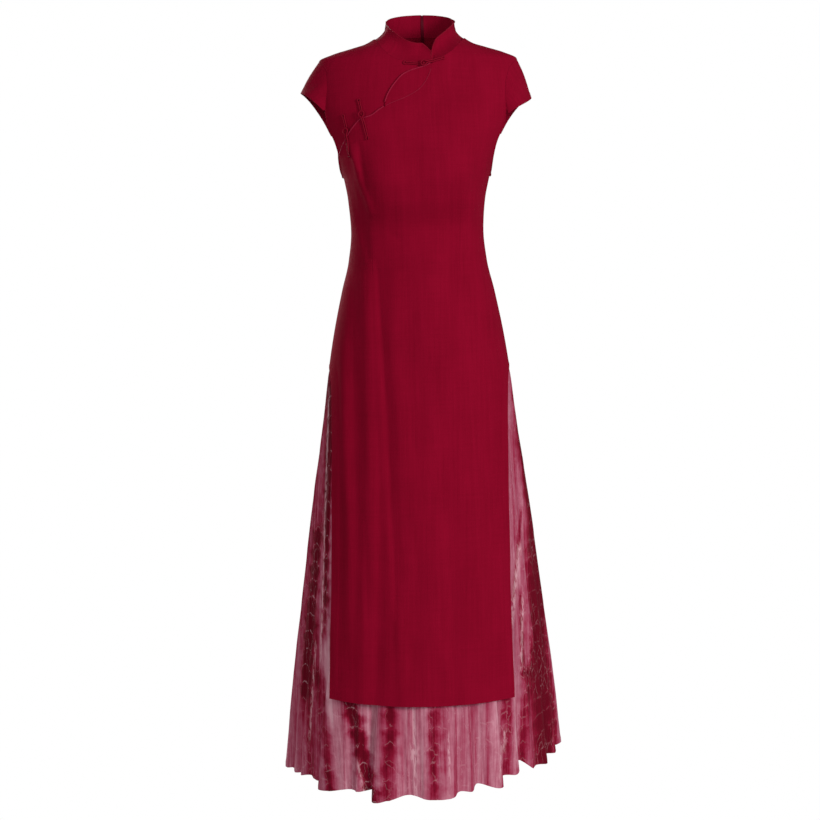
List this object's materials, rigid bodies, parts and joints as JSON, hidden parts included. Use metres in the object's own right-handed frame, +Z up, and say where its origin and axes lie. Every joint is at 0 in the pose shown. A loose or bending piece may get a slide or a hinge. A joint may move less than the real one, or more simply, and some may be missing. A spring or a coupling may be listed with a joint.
{
  "type": "ao dai",
  "caption": "Fitted long dress with a stand collar, slanted piped closure with frogs, cap sleeves, side slits and a flared tie-dyed underskirt.",
  "frame": {"origin": "level with the two side neck points, on the middle line of the body, where the shoulders carry the dress", "axes": "+Z up; the front faces -Y; the wearer's left side is at +X"},
  "size_m": [0.5421, 0.4624, 1.4542],
  "materials": {
    "dress_cloth": "matt linen-like crepe",
    "tie_dye_cloth": "matt tie-dyed crepe",
    "piping_cloth": "soft satin bias cord",
    "zip_tape": "matt woven tape with nylon coil",
    "zip_enamel": "enamelled metal"
  },
  "bodies": {
    "root": {"front": "dress_cloth", "front_yoke": "dress_cloth", "back_left": "dress_cloth", "back_right": "dress_cloth", "petal_inset": "dress_cloth", "collar_left": "dress_cloth", "collar_right": "dress_cloth", "cap_sleeve_left": "dress_cloth", "cap_sleeve_right": "dress_cloth", "skirt_front": "tie_dye_cloth", "skirt_back": "tie_dye_cloth", "petal_piping": "piping_cloth", "slant_piping": "piping_cloth", "collar_frog_knot": "piping_cloth", "collar_frog_loop": "piping_cloth", "collar_frog_ball": "piping_cloth", "chest_frog_knot": "piping_cloth", "chest_frog_loop": "piping_cloth", "chest_frog_ball": "piping_cloth", "side_frog_knot": "piping_cloth", "side_frog_loop": "piping_cloth", "side_frog_ball": "piping_cloth", "zip": "zip_tape", "zip_slider": "zip_enamel"},
    "zip_tab": {"zip_pull_tab": "zip_enamel"}
  },
  "joints": [
    {"name": "zip_tab_swing", "type": "hinge", "parent": "root", "child": "zip_tab", "pos_m": [0.01594, 0.06099, 0.04133], "axis": [1, 0, 0], "range_deg": [0, 150]}
  ]
}
